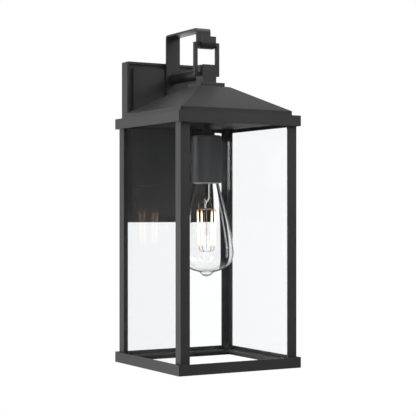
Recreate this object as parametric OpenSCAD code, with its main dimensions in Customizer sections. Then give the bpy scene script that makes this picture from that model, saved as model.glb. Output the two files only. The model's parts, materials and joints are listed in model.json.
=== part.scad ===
// Outdoor wall lantern: a square glazed cage with a pyramid roof, held off the wall by a tube arm
// and dressed with a strap hook and a square link, with one screw-in filament lamp inside.
// Millimetres. The origin is on the wall, in the middle of the backplate's back.
// +Z is up, the wall lies at Y = 0 and the lantern stands out towards -Y.

/* [Backplate] */
// Width of the backplate
plate_w = 122.6; // [110:0.2:140]
// Height of the backplate
plate_h = 197; // [180:1:230]
// Depth of the backplate's side walls
plate_d = 15; // [13:0.5:20]
// Sheet thickness of the backplate
plate_t = 1.6; // [1.2:0.1:2.2]
// Corner radius of the backplate's outline
plate_r = 1.5; // [1:0.1:3]
// Width of the flat rim around the groove
rim_w = 3; // [2.4:0.1:5]
// Width of the groove around the raised panel
groove_w = 4.4; // [3:0.1:6]
// Depth of the groove behind the rim
groove_d = 1.5; // [0.8:0.1:2]
// Height of the raised panel in front of the rim
panel_rise = 2.6; // [1.5:0.1:4]

/* [Crossbar] */
// Height of the mounting crossbar
bar_h = 24; // [20:1:30]
// Sheet thickness of the crossbar
bar_t = 2; // [1.5:0.1:2.5]
// Gap between the crossbar's end tabs and the backplate's groove
tab_gap = 0.9; // [0.4:0.1:1.5]
// Distance between the centres of the two outlet box slots
slot_span = 79.4; // [76:0.2:84]
// End-to-end length of each outlet box slot
slot_len = 16; // [14:0.5:20]
// Half width of each outlet box slot
slot_r = 2.4; // [2.2:0.05:2.8]
// Radius of the crossbar's centre hole
centre_hole_r = 5.1; // [4.5:0.1:6]
// Distance of the earth screw from the middle of the crossbar
earth_x = 20; // [14:1:26]
// Distance of the side screws' axis from the wall
side_screw_y = 7.5; // [6.5:0.1:8]
// Thread radius of the side screws
side_screw_r = 2; // [1.5:0.1:2.5]
// Head radius of the side screws
side_head_r = 3.9; // [3:0.1:5]
// Head height of the side screws
side_head_h = 2.4; // [1.5:0.1:3]

/* [Strap arm] */
// Width of the strap
strap_w = 19; // [16:0.5:22]
// Thickness of the strap
strap_t = 2.2; // [1.8:0.1:2.6]
// Outer radius of the two upper bends
bend_r = 3.6; // [3:0.1:6]
// Height of the strap's top above the backplate's top edge
strap_above = 34.6; // [30:0.2:50]
// Length of the strap's rear leg
rear_leg = 112; // [100:1:130]
// Outer radius of the hook at the strap's front end
hook_r = 7.6; // [7:0.1:9]
// Height of the hook's lip above the hook's centre
lip_h = 6.9; // [4:0.1:9]
// Depth from the strap's top to the hook's centre
hook_drop = 18; // [16:0.2:24]
// Distance of the hook's centre behind the cage's axis
hook_back = 0.6; // [0:0.1:1]
// Height of the lower strap screw above the rear leg's end
strap_screw_low = 10; // [8:1:14]
// Spacing of the two strap screws
strap_screw_gap = 18; // [14:1:22]
// Thread radius of the strap screws
strap_screw_r = 2; // [1.5:0.1:2.5]
// Head radius of the strap screws
strap_head_r = 3.5; // [3:0.1:4.5]

/* [Tube arm] */
// Distance of the tube arm's axis below the backplate's top edge
arm_drop = 19.5; // [17.5:0.1:24]
// Outer radius of the tube arm
arm_r = 6.35; // [5.8:0.05:7]
// Radius of the threaded neck and of the stem
thread_r = 4.95; // [4.6:0.05:5.2]
// Radius of the wire way through the neck, the arm and the stem
wire_r = 3.5; // [3:0.1:3.8]
// Length of the neck behind the raised panel
neck_in = 8; // [7:0.2:9]
// Width across flats of the pipe nuts
nut_af = 14; // [13:0.2:16]
// Height of the pipe nuts
nut_h = 3.6; // [3:0.1:4]
// Thickness of the pipe washers
washer_t = 1; // [0.6:0.1:1.2]
// Outer radius of the pipe washers
washer_r = 8.4; // [7.8:0.1:9.5]

/* [Link and block] */
// Outer width of the square link
link_w = 34; // [31:0.2:38]
// Outer height of the square link
link_h = 39.9; // [38:0.1:42]
// Thickness of the link's square bar
link_bar = 4.4; // [3.8:0.1:4.6]
// Width of the hanger block
block_w = 18.3; // [16:0.1:20]
// Depth of the hanger block
block_d = 16; // [15.6:0.1:18]
// Height of the hanger block
block_h = 21.8; // [20:0.1:24]
// Height of the block's solid base under the link
block_base = 8.5; // [8:0.1:9.5]
// Thickness of the block's front lip
block_lip = 1.8; // [1.4:0.1:2.2]
// Play of the link's bar in the block's slot
link_play = 0.4; // [0.3:0.05:0.6]
// Gap between the link's bar and the base it rests over
link_rest = 0.2; // [0.1:0.05:0.3]

/* [Roof] */
// Width of the roof over its upright lip
roof_w = 148; // [140:0.5:152]
// Width of the roof's flat top
roof_top_w = 43; // [38:0.5:48]
// Height of the roof's upright lip
roof_lip = 5.4; // [3:0.1:7]
// Rise of the roof's slopes
roof_rise = 29.9; // [24:0.1:40]
// Sheet thickness of the roof
roof_t = 1.4; // [1:0.1:2]
// Radius of the roof's hips
hip_r = 3; // [2.4:0.1:4]
// Width of the hem turned in under the roof
hem_w = 14; // [12.5:0.1:16]
// Width of the square cap plate
cap_w = 32.5; // [28:0.5:38]
// Thickness of the cap plate
cap_t = 5; // [4:0.1:6]
// Thread radius of the roof screws and the clip screws
small_screw_r = 1.4; // [1.2:0.05:1.5]
// Head radius of the roof screws and the clip screws
small_head_r = 2.4; // [2.2:0.05:2.5]
// Head height of the roof screws and the clip screws
small_head_h = 1.7; // [1.2:0.1:2]

/* [Cage] */
// Outer width of the cage over its bands
cage_w = 161.8; // [156:0.2:164]
// Gap between the cage's rear face and the strap on the backplate
cage_gap = 1.3; // [1:0.1:3]
// Height of the cage over both bands
cage_h = 293.2; // [270:0.1:330]
// Distance of the cage's top below the tube arm's axis
cage_drop = 52.7; // [49:0.1:57]
// Height of each band
band_h = 12.3; // [11:0.1:16]
// Sheet thickness of the bands and their flanges
band_t = 2; // [1.5:0.1:2.4]
// Corner radius of the bands
band_r = 0.8; // [0.4:0.1:2]
// Depth of each band's channel for the glass
channel_d = 4.4; // [3.6:0.1:5]
// Width of the flange that carries the posts and panes
flange_w = 13.5; // [13:0.1:14.5]
// Thickness of the ceiling plate that closes the roof off from the cage
ceiling_t = 1; // [0.8:0.1:1.2]
// Inset of the posts from the bands' outer faces
post_inset = 4; // [3:0.1:4.5]
// Width of each leg of the corner posts
post_leg = 11.5; // [10:0.1:14]
// Thickness of the corner posts
post_t = 1.8; // [1.4:0.1:2]
// Thickness of the glass panes
pane_t = 3; // [2:0.1:3.2]
// Play of the panes against the posts and clips
pane_play = 0.2; // [0.1:0.05:0.3]
// Length of each upstand of the pane clips
clip_leg = 5; // [4:0.1:5.5]
// Height of the pane clips
clip_h = 6; // [4:0.1:9]
// Sheet thickness of the pane clips
clip_t = 1; // [0.8:0.05:1.1]

/* [Lamp holder] */
// Outer radius of the socket cup
cup_r = 17.2; // [17:0.05:20]
// Height of the socket cup
cup_h = 56.1; // [54:0.1:66]
// Wall thickness of the socket cup
cup_t = 0.9; // [0.8:0.05:1.3]
// Rounding of the socket cup's upper edge
cup_edge = 1.6; // [1.3:0.1:3]
// Distance of the cup's rim below the cage's top
cup_drop = 77.6; // [75:0.1:87]
// Outer radius of the porcelain socket
socket_r = 15.2; // [15:0.05:15.5]
// Height of the porcelain socket
socket_h = 38.4; // [37:0.1:40]
// Distance of the porcelain socket above the cup's rim
socket_up = 4; // [2:0.1:6]
// Thickness of the porcelain socket's top
socket_top = 5; // [4:0.1:6]
// Inner radius of the screw shell
shell_r = 13.5; // [13.45:0.01:13.8]
// Sheet thickness of the screw shell and the contact
shell_t = 0.4; // [0.3:0.05:0.5]

/* [Lamp] */
// Greatest radius of the lamp's glass
bulb_r = 32; // [28:0.5:36]
// Length of the lamp's glass below its cap
bulb_h = 118.2; // [100:0.2:130]
// Thickness of the lamp's glass
bulb_t = 0.8; // [0.6:0.05:1]
// Radius of the lamp's screw cap
cap_r = 13.1; // [13:0.01:13.2]
// Length of the lamp's screw cap
cap_h = 24; // [22:0.1:25]
// Distance of the cap's lower edge above the cup's rim
bulb_up = 7.3; // [6:0.1:9]
// Height of the black insulator above the cap
insulator_h = 2.2; // [1.8:0.1:2.6]
// Radius of the lamp's centre contact
contact_r = 4.6; // [4:0.1:5]
// Height of the lamp's centre contact
contact_h = 1.2; // [1:0.1:1.4]
// Gap between the lamp's centre contact and the pieces it meets
contact_gap = 0.1; // [0.05:0.05:0.2]
// Number of filament sticks
sticks = 4; // [3:1:6]
// Radius of a filament stick
stick_r = 0.9; // [0.7:0.05:1.2]
// Distance of the sticks' tops from the lamp's axis
stick_top_r = 12.4; // [10:0.1:13]
// Distance of the sticks' feet from the lamp's axis
stick_foot_r = 10.3; // [8:0.1:13]
// Radius of the lamp's inner wires
lead_r = 0.35; // [0.25:0.05:0.5]

/* [Hidden] */
$fn = 64;
// Working clearance for holes that a thread or a tube passes through
hole_play = 0.2;
// Gap between the crossbar's tabs and the backplate's side walls
side_play = 0.3;
// Gap between a screw's thread and the hole it is cut into
thread_gap = 0.05;
// Overshoot of a cut through a face
cut = 1;
// Thickness of the discs that a sloping shell is stretched between
disc_t = 0.01;

// Depths off the wall
panel_w = plate_w - 2 * (rim_w + groove_w);
panel_h = plate_h - 2 * (rim_w + groove_w);
panel_front = plate_d + panel_rise;
panel_back = panel_front - plate_t;
strap_front = panel_front + strap_t;
reach = strap_front + cage_gap + cage_w / 2;
axis_y = -reach;

// Heights of the cage, roof and hanger, counted from the backplate's middle
arm_z = plate_h / 2 - arm_drop;
cage_top = arm_z - cage_drop;
top_channel = cage_top - band_h;
cage_foot = cage_top - cage_h;
foot_channel = cage_foot + band_h;
lower_flange = foot_channel - channel_d;
ceiling = top_channel + channel_d;
upper_flange = ceiling + ceiling_t;
lip_top = cage_top + roof_lip;
roof_top = lip_top + roof_rise;
cap_top = roof_top + cap_t;
block_top = cap_top + block_h;
link_seat = cap_top + block_base;
link_foot = link_seat + link_rest;
strap_top = plate_h / 2 + strap_above;
hook_z = strap_top - hook_drop;
hook_y = axis_y + hook_back;
strap_foot = strap_top - rear_leg;

// Half widths about the cage's axis
cage_half = cage_w / 2;
wall_half = cage_half - band_t;
flange_half = wall_half - flange_w;
post_half = cage_half - post_inset;
glass_half = post_half - post_t - pane_play;
glass_inner = glass_half - pane_t;
clip_half = glass_inner - pane_play;
tab_half = flange_half + 0.5;
clip_screw_at = clip_half - clip_t - small_head_r - 0.4;
roof_half = roof_w / 2;
roof_top_half = roof_top_w / 2;
hem_half = roof_half - hem_w;
roof_slope = roof_rise / (roof_half - roof_top_half);
roof_drop = roof_t * sqrt(1 + roof_slope * roof_slope);
roof_screw_at = hem_half + small_head_r + 0.6;

// Heights of the lamp holder and the lamp
cup_foot = cage_top - cup_drop;
cup_top = cup_foot + cup_h;
cup_ceiling = cup_top - cup_t;
socket_foot = cup_foot + socket_up;
socket_crown = socket_foot + socket_h;
socket_floor = socket_crown - socket_top;
shell_foot = socket_foot + 2;
bulb_top = cup_foot + bulb_up;
cap_crown = bulb_top + cap_h;
insulator_crown = cap_crown + insulator_h;
contact_foot = insulator_crown + contact_gap;
contact_crown = contact_foot + contact_h;
stem_foot = socket_crown + 1.2;
stem_crown = link_seat - 4.1;
boss_h = cup_ceiling - washer_t - nut_h - socket_crown - 0.4;
neck_end = panel_back - neck_in;

// Parts of the lamp, counted down from the cap's lower edge as shares of the glass length
belly = 0.77 * bulb_h;
shoulder = 0.954 * bulb_h;
stick_top = 0.33 * bulb_h;
stick_foot = 0.71 * bulb_h;
cross_level = stick_foot + 4.5;
neck_r = cap_r - 0.8;
neck_up = 1;
mount_r = 4.5;
pinch_top = stick_top - 9;
pinch_foot = stick_top - 1;

black_coat = "#303032";
zinc = "#b9bcc0";
brass = "#c7a95b";

// ---- shapes used by several pieces ----

// A rectangle with true round corners, about the origin
module rounded(w, h, r) {
    square([w - 2 * r, h], center = true);
    square([w, h - 2 * r], center = true);
    for (x = [-1, 1], y = [-1, 1])
        translate([x * (w / 2 - r), y * (h / 2 - r)]) circle(r = r);
}

// A square ring about the cage's axis, from z0 up by h
module frame_ring(outer, inner, z0, h, r) {
    translate([0, axis_y, z0])
        linear_extrude(h) difference() {
            rounded(2 * outer, 2 * outer, r);
            square(2 * inner, center = true);
        }
}

// A plate facing the wall: outline w by h, from depth y0 out to depth y1
module wall_plate(w, h, y0, y1, r) {
    translate([0, -y0, 0])
        rotate([90, 0, 0]) linear_extrude(y1 - y0) rounded(w, h, r);
}

// Turns a drawing's (x, y) into (Y, Z) and extrudes it along X, centred
module side_profile(width) {
    rotate([90, 0, 90]) linear_extrude(width, center = true) children();
}

// A quarter of a flat ring, in the quadrant that (sx, sy) points to
module quarter_ring(outer, inner, sx, sy) {
    intersection() {
        difference() {
            circle(r = outer);
            circle(r = inner);
        }
        translate([sx > 0 ? 0 : -outer, sy > 0 ? 0 : -outer]) square(outer);
    }
}

// A pan-head screw with a cross recess: the head stands on z = 0 and the thread runs down
module screw(head, height, thread, length) {
    recess = 0.22 * head;
    difference() {
        union() {
            cylinder(r = head, h = height / 2);
            translate([0, 0, height / 2]) cylinder(r1 = head, r2 = 0.72 * head, h = height / 2, $fn = 48);
        }
        for (a = [0, 90])
            rotate([0, 0, a]) translate([-0.5 * head, -recess / 2, height * 0.45])
                cube([head, recess, height]);
    }
    translate([0, 0, -length]) cylinder(r = thread, h = length);
}

module hex_nut(flats, height, bore) {
    difference() {
        cylinder(r = flats / sqrt(3), h = height, $fn = 6);
        translate([0, 0, -cut]) cylinder(r = bore, h = height + 2 * cut);
    }
}

module washer(outer, bore, height) {
    difference() {
        cylinder(r = outer, h = height);
        translate([0, 0, -cut]) cylinder(r = bore, h = height + 2 * cut);
    }
}

// Copies a shape to the four corners of the cage, turned to face each corner
module at_corners() {
    for (a = [0:90:270]) translate([0, axis_y, 0]) rotate([0, 0, a]) children();
}

// Places a shape on the cage's axis, with its z = 0 at the given height
module on_axis(z) {
    translate([0, axis_y, z]) children();
}

// Places a shape on the tube arm's axis, with its z = 0 at depth y and +z towards the wall
module on_arm(y) {
    translate([0, -y, arm_z]) rotate([-90, 0, 0]) children();
}

// ---- wall side ----

module backplate() {
    inner_front = plate_d - groove_d - plate_t;
    color(black_coat) difference() {
        union() {
            difference() {
                wall_plate(plate_w, plate_h, 0, plate_d, plate_r);
                difference() {
                    wall_plate(plate_w - 2 * rim_w, plate_h - 2 * rim_w, plate_d - groove_d, plate_d + cut, plate_r);
                    wall_plate(panel_w, panel_h, 0, plate_d + 2 * cut, plate_r);
                }
            }
            wall_plate(panel_w, panel_h, plate_d - groove_d, panel_front, plate_r);
        }
        wall_plate(plate_w - 2 * plate_t, plate_h - 2 * plate_t, -cut, inner_front, 0.5 * plate_r);
        wall_plate(panel_w - 2 * plate_t, panel_h - 2 * plate_t, 0, panel_back, 0.5 * plate_r);
        on_arm(panel_front + cut) cylinder(r = thread_r + hole_play, h = 2 * plate_t + 2 * cut);
        strap_screw_places(panel_front + cut)
            cylinder(r = strap_screw_r + hole_play, h = 2 * plate_t + 2 * cut);
        for (s = [-1, 1]) translate([s * plate_w / 2, -side_screw_y, 0])
            rotate([0, s * 90, 0]) translate([0, 0, -plate_t - cut])
                cylinder(r = side_screw_r + hole_play, h = plate_t + 2 * cut);
    }
}

// The two strap screws' places: z = 0 at depth y and +z towards the wall
module strap_screw_places(y) {
    for (i = [0, 1])
        translate([0, -y, strap_foot + strap_screw_low + i * strap_screw_gap]) rotate([-90, 0, 0]) children();
}

module crossbar() {
    half = plate_w / 2 - plate_t - side_play;
    tab_d = plate_d - groove_d - plate_t - tab_gap;
    tab_h = bar_h - 6;
    color(zinc) difference() {
        union() {
            wall_plate(2 * half, bar_h, 0, bar_t, 0.5);
            for (s = [-1, 1]) translate([s * (half - bar_t / 2), -tab_d / 2, 0])
                cube([bar_t, tab_d, tab_h], center = true);
        }
        for (s = [-1, 1]) {
            translate([s * slot_span / 2, -bar_t - cut, 0]) rotate([-90, 0, 0])
                linear_extrude(bar_t + 2 * cut) slot(slot_len, slot_r);
            translate([s * (half + cut), -side_screw_y, 0]) rotate([0, -s * 90, 0])
                cylinder(r = side_screw_r + thread_gap, h = bar_t + 2 * cut);
        }
        translate([0, cut, 0]) rotate([90, 0, 0]) cylinder(r = centre_hole_r, h = bar_t + 2 * cut);
        translate([earth_x, cut, 0]) rotate([90, 0, 0])
            cylinder(r = side_screw_r + thread_gap, h = bar_t + 2 * cut);
    }
}

// A straight slot with round ends, along X
module slot(length, r) {
    square([length - 2 * r, 2 * r], center = true);
    for (s = [-1, 1]) translate([s * (length / 2 - r), 0]) circle(r = r);
}

module side_screws() {
    color(black_coat) for (s = [-1, 1])
        translate([s * plate_w / 2, -side_screw_y, 0]) rotate([0, s * 90, 0])
            screw(side_head_r, side_head_h, side_screw_r, plate_t + side_play + bar_t + 2);
}

module earth_screw() {
    color("seagreen") translate([earth_x, -bar_t, 0]) rotate([90, 0, 0])
        screw(side_head_r, side_head_h, side_screw_r, bar_t - 0.1);
}

module strap_arm() {
    leg_top = strap_top - bend_r;
    front = hook_y + hook_r;
    inner = hook_r - strap_t;
    bend_in = bend_r - strap_t;
    color(black_coat) difference() {
        side_profile(strap_w) {
            translate([-strap_front, strap_foot]) square([strap_t, leg_top - strap_foot]);
            translate([-panel_front - bend_r, leg_top]) quarter_ring(bend_r, bend_in, 1, 1);
            translate([front - strap_t + bend_r, strap_top - strap_t])
                square([-panel_front - front + strap_t - 2 * bend_r, strap_t]);
            translate([front - strap_t + bend_r, leg_top]) quarter_ring(bend_r, bend_in, -1, 1);
            translate([front - strap_t, hook_z]) square([strap_t, leg_top - hook_z]);
            translate([hook_y, hook_z]) {
                quarter_ring(hook_r, inner, 1, -1);
                quarter_ring(hook_r, inner, -1, -1);
                translate([-hook_r, 0]) square([strap_t, lip_h]);
            }
        }
        on_arm(strap_front + cut) cylinder(r = thread_r + hole_play, h = strap_t + 2 * cut);
        strap_screw_places(strap_front + cut) cylinder(r = strap_screw_r + thread_gap, h = strap_t + 2 * cut);
    }
}

module strap_screws() {
    color(zinc) strap_screw_places(panel_back) screw(strap_head_r, 2, strap_screw_r, plate_t + strap_t - 0.2);
}

// ---- tube arm ----

module arm_tube() {
    arm_length = reach - block_d / 2 - strap_front;
    color(black_coat) on_arm(reach - block_d / 2) difference() {
        union() {
            cylinder(r = arm_r, h = arm_length);
            cylinder(r = thread_r, h = reach - block_d / 2 - neck_end);
        }
        translate([0, 0, -cut]) cylinder(r = wire_r, h = reach);
    }
}

module arm_washer() {
    color(zinc) on_arm(panel_back) washer(washer_r, thread_r + hole_play, washer_t);
}

module arm_nut() {
    color(zinc) on_arm(panel_back - washer_t) hex_nut(nut_af, nut_h, thread_r + thread_gap);
}

// Plastic bushing that keeps the wires off the neck's edge
module wire_bushing() {
    color("#202022") on_arm(neck_end) difference() {
        union() {
            cylinder(r = thread_r - 0.3, h = 1.2);
            translate([0, 0, -5]) cylinder(r = wire_r - 0.1, h = 5 + 1.2);
        }
        translate([0, 0, -5 - cut]) cylinder(r = wire_r - 0.9, h = 5 + 1.2 + 2 * cut);
    }
}

// ---- hanger ----

module link() {
    color(black_coat) on_axis(link_foot + link_h / 2) difference() {
        cube([link_w, link_bar, link_h], center = true);
        cube([link_w - 2 * link_bar, link_bar + 2 * cut, link_h - 2 * link_bar], center = true);
    }
}

module hanger_block() {
    slot_w = link_bar + link_play;
    slot_front = -block_d / 2 + block_lip;
    notch_back = link_bar / 2 + link_play;
    chamber = stem_crown + 2.5;
    channel_y = (notch_back + block_d / 2) / 2 + 0.6;
    color(black_coat) on_axis(cap_top) difference() {
        translate([-block_w / 2, -block_d / 2, 0]) cube([block_w, block_d, block_h]);
        translate([-block_w / 2 - cut, slot_front, block_base])
            cube([block_w + 2 * cut, slot_w, block_h]);
        translate([-block_w / 2 - cut, slot_front, block_base])
            cube([block_w + 2 * cut, notch_back - slot_front, slot_w]);
        translate([0, 0, -cut]) cylinder(r = thread_r + thread_gap, h = chamber - cap_top + cut);
        translate([0, channel_y, stem_crown - cap_top]) cylinder(r = 1.8, h = arm_z - stem_crown);
        translate([0, block_d / 2 + cut, arm_z - cap_top]) rotate([90, 0, 0])
            cylinder(r = 1.8, h = block_d / 2 + cut - channel_y);
    }
}

module cap_plate() {
    color(black_coat) on_axis(roof_top) difference() {
        linear_extrude(cap_t) rounded(cap_w, cap_w, 0.8);
        translate([0, 0, -cut]) cylinder(r = thread_r + hole_play, h = cap_t + 2 * cut);
    }
}

// ---- roof ----

// A square frustum with round hips, between two heights over the cage's axis
module frustum(low_half, high_half, z_low, z_high, r) {
    hull() for (level = [[low_half, z_low], [high_half, z_high - disc_t]], x = [-1, 1], y = [-1, 1])
        translate([x * (level[0] - r), y * (level[0] - r), level[1]]) cylinder(r = r, h = disc_t, $fn = 32);
}

module roof() {
    inner_half = roof_half - roof_t;
    inner_eave = lip_top + roof_t * roof_slope - roof_drop;
    inner_top = roof_top - roof_t;
    inner_top_half = roof_half - (inner_top - lip_top + roof_drop) / roof_slope;
    color(black_coat) on_axis(0) difference() {
        union() {
            translate([0, 0, cage_top]) linear_extrude(roof_lip) rounded(roof_w, roof_w, hip_r);
            frustum(roof_half, roof_top_half, lip_top, roof_top, hip_r);
        }
        translate([0, 0, cage_top + roof_t]) linear_extrude(inner_eave - cage_top - roof_t)
            rounded(2 * inner_half, 2 * inner_half, hip_r - roof_t);
        frustum(inner_half, inner_top_half, inner_eave - disc_t, inner_top, hip_r - roof_t);
        translate([0, 0, cage_top - cut]) linear_extrude(roof_t + 2 * cut) square(2 * hem_half, center = true);
        translate([0, 0, inner_top - cut]) cylinder(r = thread_r + hole_play, h = roof_t + 2 * cut);
        for (a = [0:90:270]) rotate([0, 0, a]) translate([roof_screw_at, 0, cage_top - cut])
            cylinder(r = small_screw_r + thread_gap, h = roof_t + 2 * cut);
    }
}

module roof_screws() {
    color(black_coat) on_axis(cage_top - band_t) for (a = [0:90:270])
        rotate([0, 0, a]) translate([roof_screw_at, 0, 0]) mirror([0, 0, 1])
            screw(small_head_r, small_head_h, small_screw_r, band_t + roof_t + 1.5);
}

// ---- cage ----

module top_frame() {
    color(black_coat) difference() {
        union() {
            frame_ring(cage_half, wall_half, top_channel, band_h, band_r);
            frame_ring(wall_half + 0.5, flange_half, upper_flange, band_t, band_r);
            frame_ring(wall_half + 0.5, hem_half, cage_top - band_t, band_t, band_r);
        }
        at_corners() translate([clip_screw_at, clip_screw_at, upper_flange - cut])
            cylinder(r = small_screw_r + thread_gap, h = band_t + 2 * cut);
        for (a = [0:90:270]) on_axis(cage_top - band_t - cut) rotate([0, 0, a]) translate([roof_screw_at, 0, 0])
            cylinder(r = small_screw_r + hole_play, h = band_t + 2 * cut);
    }
}

// The plate under the roof, held between the top frame's flange and the posts' upper tabs
module ceiling_plate() {
    half = wall_half - side_play;
    color(black_coat) difference() {
        frame_ring(half, 0, ceiling, ceiling_t, band_r);
        on_axis(ceiling - cut) cylinder(r = thread_r + hole_play, h = ceiling_t + 2 * cut);
        at_corners() translate([clip_screw_at, clip_screw_at, ceiling - cut])
            cylinder(r = small_screw_r + hole_play, h = ceiling_t + 2 * cut);
    }
}

module bottom_frame() {
    color(black_coat) difference() {
        union() {
            frame_ring(cage_half, wall_half, cage_foot, band_h, band_r);
            frame_ring(wall_half + 0.5, flange_half, lower_flange - band_t, band_t, band_r);
        }
        at_corners() translate([clip_screw_at, clip_screw_at, lower_flange - band_t - cut])
            cylinder(r = small_screw_r + thread_gap, h = band_t + 2 * cut);
    }
}

// A corner post: an angle with a tab bent in at each end, screwed to the two flanges
module post(turn) {
    length = ceiling - lower_flange;
    inner = post_half - post_t;
    color(black_coat) translate([0, axis_y, lower_flange]) rotate([0, 0, turn]) difference() {
        translate([post_half - post_leg, post_half - post_leg, 0]) cube([post_leg, post_leg, length]);
        translate([0, 0, post_t]) cube([inner, inner, length - 2 * post_t]);
        translate([0, 0, -cut]) cube([tab_half, post_half + cut, post_t + cut]);
        translate([0, 0, -cut]) cube([post_half + cut, tab_half, post_t + cut]);
        translate([0, 0, length - post_t]) cube([tab_half, post_half + cut, post_t + cut]);
        translate([0, 0, length - post_t]) cube([post_half + cut, tab_half, post_t + cut]);
        translate([clip_screw_at, clip_screw_at, -cut])
            cylinder(r = small_screw_r + hole_play, h = length + 2 * cut);
    }
}

// A glass pane on one side of the cage, standing on the posts' tabs
module pane(turn, half) {
    foot = lower_flange + post_t;
    height = ceiling - lower_flange - 2 * post_t - 0.5;
    color("lightcyan", 0.35) translate([0, axis_y, foot]) rotate([0, 0, turn])
        translate([-half, -glass_half, 0]) cube([2 * half, pane_t, height]);
}

// A corner clip: a small plate with two upstands that keep the panes against the posts
module pane_clip() {
    inner = tab_half;
    difference() {
        union() {
            translate([inner, inner, 0]) cube([clip_half - inner, clip_half - inner, clip_t]);
            translate([clip_half - clip_t, clip_half - clip_leg, 0]) cube([clip_t, clip_leg, clip_h]);
            translate([clip_half - clip_leg, clip_half - clip_t, 0]) cube([clip_leg, clip_t, clip_h]);
        }
        translate([clip_screw_at, clip_screw_at, -cut])
            cylinder(r = small_screw_r + hole_play, h = clip_t + 2 * cut);
    }
}

// Places a shape in the cage's eight corners, its z = 0 on the post's tab and +z into the cage
module clip_places() {
    at_corners() {
        translate([0, 0, lower_flange + post_t]) children();
        translate([0, 0, ceiling - post_t]) mirror([0, 0, 1]) children();
    }
}

module pane_clips() {
    color(black_coat) clip_places() pane_clip();
}

module clip_screws() {
    color(black_coat) clip_places() translate([clip_screw_at, clip_screw_at, clip_t])
        screw(small_head_r, small_head_h, small_screw_r, clip_t + post_t + ceiling_t + band_t + 0.8);
}

// ---- lamp holder ----

module stem() {
    color(black_coat) on_axis(stem_foot) difference() {
        cylinder(r = thread_r, h = stem_crown - stem_foot);
        translate([0, 0, -cut]) cylinder(r = wire_r, h = stem_crown - stem_foot + 2 * cut);
    }
}

module stem_washers() {
    color(zinc) {
        on_axis(roof_top - roof_t - washer_t) washer(washer_r, thread_r + hole_play, washer_t);
        on_axis(cup_ceiling - washer_t) washer(washer_r, thread_r + hole_play, washer_t);
    }
}

module stem_nuts() {
    color(zinc) {
        on_axis(roof_top - roof_t - washer_t - nut_h) hex_nut(nut_af, nut_h, thread_r + thread_gap);
        on_axis(cup_ceiling - washer_t - nut_h) hex_nut(nut_af, nut_h, thread_r + thread_gap);
    }
}

module socket_cup() {
    color(black_coat) on_axis(cup_foot) rotate_extrude() difference() {
        union() {
            square([cup_r, cup_h - cup_edge]);
            square([cup_r - cup_edge, cup_h]);
            translate([cup_r - cup_edge, cup_h - cup_edge]) circle(r = cup_edge);
        }
        translate([-cup_r, -cut]) square([2 * cup_r - cup_t, cup_h - cup_edge + cut]);
        translate([-cup_r, -cut]) square([2 * cup_r - cup_edge, cup_h - cup_t + cut]);
        translate([cup_r - cup_edge, cup_h - cup_edge]) circle(r = cup_edge - cup_t);
        translate([-cut, 0]) square([cut + thread_r + hole_play, cup_h + cut]);
        translate([-cup_r, -cut]) square([cup_r, cup_h + 2 * cut]);
    }
}

module socket_body() {
    color("ivory") on_axis(socket_foot) difference() {
        union() {
            cylinder(r = socket_r, h = socket_h);
            translate([0, 0, socket_h]) cylinder(r = thread_r + 2.4, h = boss_h);
        }
        translate([0, 0, -cut]) cylinder(r = shell_r + shell_t + 0.1, h = socket_h - socket_top + cut);
        translate([0, 0, socket_h + 1]) cylinder(r = thread_r + thread_gap, h = boss_h);
        for (s = [-1, 1]) translate([s * 6.5, 0, socket_h - socket_top - cut])
            cylinder(r = 1.5, h = socket_top + 2 * cut);
    }
}

module socket_shell() {
    height = cap_crown - shell_foot + 1;
    color(brass) on_axis(shell_foot) rotate_extrude() {
        translate([shell_r, 0]) square([shell_t, height]);
        translate([contact_r + 4.5, height - shell_t]) square([shell_r - contact_r - 4, shell_t]);
    }
}

// Spring contact over the lamp: a strip from the socket's floor down to the middle
module socket_contact() {
    pad_z = contact_crown + 0.3;
    color(brass) translate([0, axis_y, 0]) rotate([90, 0, 0]) linear_extrude(5, center = true) polygon([
        [-3, pad_z], [3, pad_z], [7.5, socket_floor - shell_t], [9.5, socket_floor - shell_t],
        [9.5, socket_floor], [7.2, socket_floor], [2.8, pad_z + shell_t], [-3, pad_z + shell_t]
    ]);
}

module terminal_screws() {
    color(brass) for (s = [-1, 1]) translate([s * 11, axis_y, socket_crown])
        cylinder(r = 2.6, h = 1.8);
}

// ---- lamp ----

function bezier(p, t) =
    pow(1 - t, 3) * p[0] + 3 * t * pow(1 - t, 2) * p[1] + 3 * t * t * (1 - t) * p[2] + pow(t, 3) * p[3];
function bezier_way(p, t) =
    3 * pow(1 - t, 2) * (p[1] - p[0]) + 6 * t * (1 - t) * (p[2] - p[1]) + 3 * t * t * (p[3] - p[2]);
// The point that lies d inside the curve, towards the lamp's axis
function inside(p, t, d) = let (w = bezier_way(p, t)) bezier(p, t) + d / norm(w) * [-w[1], w[0]];
function flank(p, n, d) = [for (i = [0:n - 1]) inside(p, i / n, d)];

// The glass's outline in four curves, as [radius, distance below the cap]
flare = [[neck_r, 0], [neck_r + 5.7, 0.2 * bulb_h], [bulb_r - 0.5, 0.56 * bulb_h], [bulb_r, belly]];
bowl = [[bulb_r, belly], [bulb_r, belly + 12], [0.69 * bulb_r, shoulder - 2.3], [9, shoulder]];
nib = [[9, shoulder], [5.5, shoulder + 0.6], [4.2, shoulder + 2.4], [2.2, bulb_h - 0.8]];
tip = [[2.2, bulb_h - 0.8], [1.6, bulb_h - 0.2], [0.8, bulb_h], [0, bulb_h]];

function flip(points) = [for (p = points) [p[0], -p[1]]];
function backwards(points) = [for (i = [len(points) - 1:-1:0]) points[i]];

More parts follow.
